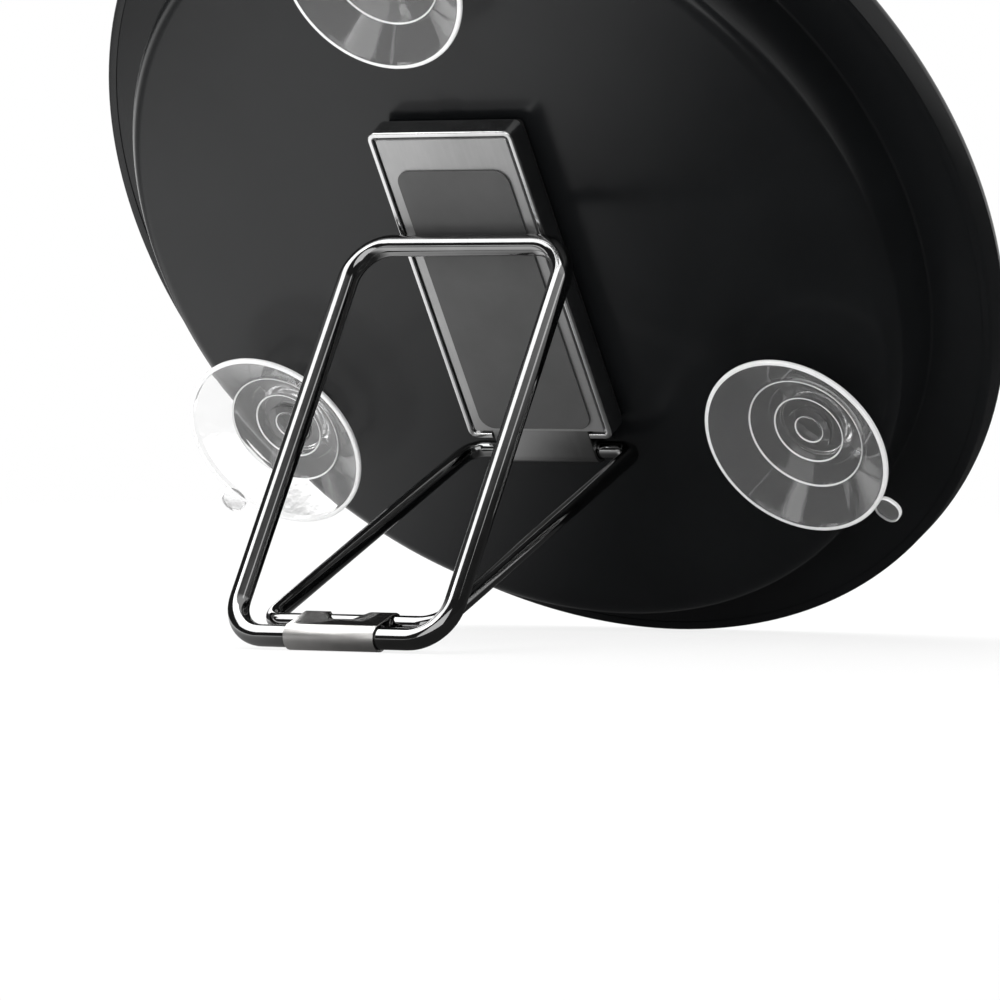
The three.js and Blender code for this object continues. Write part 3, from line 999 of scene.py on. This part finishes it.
def clip(material, painted_shade_material):
    """One sheet rolled round the arm's far bar and round the loop's foot, with a notched ear.

    Its ear and its flat have a smoother finish of their own, with painted shade in its darker colour.
    """
    half = extent("hinge_clip", CLIP)[1].x
    pitch = (CLIP.inverted() @ LOOP_HINGE).y
    ear_bore = wire_radius("arm_frame", ARM) + BARREL_CLEARANCE
    barrel_bore = wire_radius("wire_loop", LOOP) + BARREL_CLEARANCE
    ear = ear_bore + CLIP_SHEET - ROLL_EASE
    barrel = barrel_bore + CLIP_SHEET - ROLL_EASE
    ear_outer, ear_inner = rolled((0, 0), ear, ear_bore, -90, -90 - ROLL_SWEEP)
    outer, inner = rolled((pitch, 0), barrel, barrel_bore, -90, -90 + ROLL_SWEEP)
    outline = [*reversed(ear_outer), *outer, *reversed(inner), *ear_inner]
    body = make_piece(
        "rolled_clip", *prism(outline, half), CLIP, material, "clip_metal", "clip", "hinge_clip",
    )
    depth = 2 * ear
    floor = ear + NOTCH_REACH
    notch = [
        [
            (-NOTCH_FLOOR_WIDTH / 2, floor, z),
            (-NOTCH_MOUTH_WIDTH / 2, -depth, z),
            (NOTCH_MOUTH_WIDTH / 2, -depth, z),
            (NOTCH_FLOOR_WIDTH / 2, floor, z),
        ]
        for z in (-depth, depth)
    ]
    cut(body, *stacked(notch), CLIP)
    bevel(body, CLIP_BEVEL)
    # Painted shade: the ear and the flat of the one sheet take a darker copy of its steel
    refinish(body, CLIP, painted_shade_material, lambda centre, normal: centre.y < pitch)


# Studio

def add_node(tree, kind, *sources, **settings):
    """A new shader node's first output; its inputs take sockets or values in their order."""
    made = tree.nodes.new(kind)
    for name, value in settings.items():
        setattr(made, name, value)
    for socket, source in zip(made.inputs, sources):
        if isinstance(source, bpy.types.NodeSocket):
            tree.links.new(source, socket)
        else:
            socket.default_value = source
    return made.outputs[0]


def eased(tree, factor, start, end, low, high):
    """Eases from one value to the other while the factor goes from its start to its end."""
    return add_node(
        tree, "ShaderNodeMapRange", factor, start, end, low, high,
        interpolation_type="SMOOTHSTEP",
    )


def along(tree, place, direction):
    """How far a place, or a ray's direction, goes along another direction."""
    made = tree.nodes.new("ShaderNodeVectorMath")
    made.operation = "DOT_PRODUCT"
    tree.links.new(place, made.inputs[0])
    made.inputs[1].default_value = direction
    return made.outputs["Value"]


def ray_kinds(tree):
    """Whether a ray comes straight from the camera or through glass, and whether off gloss."""
    path = tree.nodes.new("ShaderNodeLightPath").outputs
    seen = add_node(
        tree, "ShaderNodeMath", path["Is Camera Ray"], path["Is Transmission Ray"],
        operation="MAXIMUM",
    )
    return seen, path["Is Glossy Ray"]


def studio_world(look):
    """White as seen, plain grey as light, and for gloss a dark room, a backdrop and a front sky."""
    world = bpy.data.worlds.new("studio")
    bpy.context.scene.world = world
    world.use_nodes = True
    tree = world.node_tree
    seen, glossy = ray_kinds(tree)
    direction = tree.nodes.new("ShaderNodeTexCoord").outputs["Generated"]
    behind = eased(tree, along(tree, direction, look), *BACKDROP_EDGE, ROOM_DARK, 1)
    front = eased(tree, along(tree, direction, FRONT_SKY), *FRONT_EDGE, ROOM_DARK, FRONT_LIGHT)
    gloss = add_node(tree, "ShaderNodeMath", behind, front, operation="MAXIMUM")
    plain = add_node(tree, "ShaderNodeBackground", WHITE, AMBIENT)
    backdrop = add_node(tree, "ShaderNodeBackground", WHITE, 1)
    room = add_node(tree, "ShaderNodeBackground", WHITE, gloss)
    shown = add_node(tree, "ShaderNodeMixShader", seen, plain, backdrop)
    shown = add_node(tree, "ShaderNodeMixShader", glossy, shown, room)
    tree.links.new(shown, tree.nodes["World Output"].inputs["Surface"])


def floor_sheet():
    half = FLOOR_WIDTH / 2
    mesh = bpy.data.meshes.new("floor")
    corners = [(-half, -half, 0), (half, -half, 0), (half, half, 0), (-half, half, 0)]
    mesh.from_pydata(corners, [], [(0, 1, 2, 3)])
    floor = bpy.data.objects.new("floor", mesh)
    bpy.context.scene.collection.objects.link(floor)
    return floor


def clear_share(tree, place, seen):
    """The floor is nearly clear to what sees it, fully clear farther out and to shadow rays."""
    away = tree.nodes.new("ShaderNodeVectorMath")
    away.operation = "LENGTH"
    tree.links.new(place, away.inputs[0])
    share = eased(tree, away.outputs["Value"], *FLOOR_FADE, FLOOR_CLEAR, 1)
    share = add_node(tree, "ShaderNodeMath", share, seen, operation="MULTIPLY")
    shadow = tree.nodes.new("ShaderNodeLightPath").outputs["Is Shadow Ray"]
    return add_node(tree, "ShaderNodeMath", share, shadow, operation="MAXIMUM")


def mirrored_light(tree, place):
    """The light of the floor in glossy things: shade by the back, a bright stretch, dusk, shine."""
    side = along(tree, place, SHADE_DIRECTION)
    shade = eased(tree, side, *SHADE_SPAN, *SHADE)
    dusk = eased(tree, side, *DUSK_SPAN, 1, DUSK_DARK)
    shine = eased(tree, side, *SHINE_SPAN, 0, SHINE)
    shade = add_node(tree, "ShaderNodeMath", shade, dusk, operation="MULTIPLY")
    return add_node(tree, "ShaderNodeMath", shade, shine, operation="ADD")


def studio_floor():
    """A clear white sheet that keeps a faint shadow, and is shaded for gloss under the back.

    What a joint swings below it stays in view and in the light.
    """
    floor = floor_sheet()
    paint = Finish("floor_paint")
    paint.colour(paint.noise(0.5), grey(0.88), grey(0.9))
    paint.roughness(paint.noise(0.2), 0.8, 0.9)
    tree = paint.material.node_tree
    seen, glossy = ray_kinds(tree)
    share = clear_share(tree, paint.place, seen)
    light = mirrored_light(tree, paint.place)
    clear = add_node(tree, "ShaderNodeBsdfTransparent", WHITE)
    mirrored = add_node(tree, "ShaderNodeEmission", WHITE, light)
    shown = add_node(tree, "ShaderNodeMixShader", share, paint.shader.outputs["BSDF"], clear)
    shown = add_node(tree, "ShaderNodeMixShader", glossy, shown, mirrored)
    tree.links.new(shown, tree.nodes["Material Output"].inputs["Surface"])
    floor.data.materials.append(paint.material)


def softbox(name, look, turn, elevation, distance, size, watts):
    """A square area light that faces the object, turned from the camera's side to its right."""
    light = bpy.data.lights.new(name, "AREA")
    light.size = size
    light.energy = watts
    lamp = bpy.data.objects.new(name, light)
    bpy.context.scene.collection.objects.link(lamp)
    toward = Vector((-look.x, -look.y, 0)).normalized()
    toward.rotate(Matrix.Rotation(math.radians(turn), 3, "Z"))
    rise = math.radians(elevation)
    aim = Vector((0, 0, cad_bounds[1].z / 2))
    lamp.location = aim + distance * Vector((*(toward.xy * math.cos(rise)), math.sin(rise)))
    lamp.rotation_euler = (aim - lamp.location).to_track_quat("-Z", "Y").to_euler()


def camera():
    azimuth, elevation = math.radians(CAMERA_AZIMUTH), math.radians(CAMERA_ELEVATION)
    look = Vector((
        -math.sin(azimuth) * math.cos(elevation),
        math.cos(azimuth) * math.cos(elevation),
        -math.sin(elevation),
    ))
    lens = bpy.data.cameras.new("camera")
    lens.lens = CAMERA_LENS
    lens.sensor_width = CAMERA_SENSOR
    lens.clip_end = CAMERA_REACH
    eye = bpy.data.objects.new("camera", lens)
    bpy.context.scene.collection.objects.link(eye)
    eye.location = Vector(CAMERA_AIM) - look * CAMERA_DISTANCE
    eye.rotation_euler = look.to_track_quat("-Z", "Y").to_euler()
    bpy.context.scene.camera = eye
    return look


def build_object():
    casing = casing_plastic()
    # edge is the whiter vinyl of the painted highlights on the cups' rims, rings, groove and tab edges
    vinyl, edge = clear_vinyl(), vinyl_painted_highlight()
    foam = dark_foam()
    chrome = black_chrome()
    bezel(casing)
    glass(silvered_glass())
    foam_ring(foam)
    shell(casing)
    for cup in CUPS:
        suction_cup(cup, vinyl, edge)
    adhesive_pad(foam)
    tray(gunmetal("tray_metal", light=0.7, low=0.16, high=0.22))
    inlaid_sheet(gunmetal("sheet_metal", light=0.48, low=0.48, high=0.56))
    # Painted shade: the tongue is the hinge plate's own sheet, given a darker colour than the inlaid sheet
    rolled_tongue(gunmetal("roll_metal_painted_shade", light=0.3, low=0.3, high=0.38))
    label(grey_film())
    wire_frame("arm_wire", "arm_frame", ARM, ARM_CORNER, chrome, "arm")
    wire_frame("loop_wire", "wire_loop", LOOP, LOOP_CORNER, chrome, "loop")
    # The clip's second steel is a darker copy of the first, painted shade for its ear and flat
    clip(
        steel("satin_steel", light=0.62, low=0.36, high=0.43),
        steel("smooth_steel_painted_shade", light=0.3, low=0.12, high=0.18),
    )


def build_studio():
    bpy.context.scene.view_settings.view_transform = "Standard"
    look = camera()
    studio_world(look)
    studio_floor()
    for name, *settings in SOFTBOXES:
        softbox(name, look, *settings)


build_object()
build_studio()
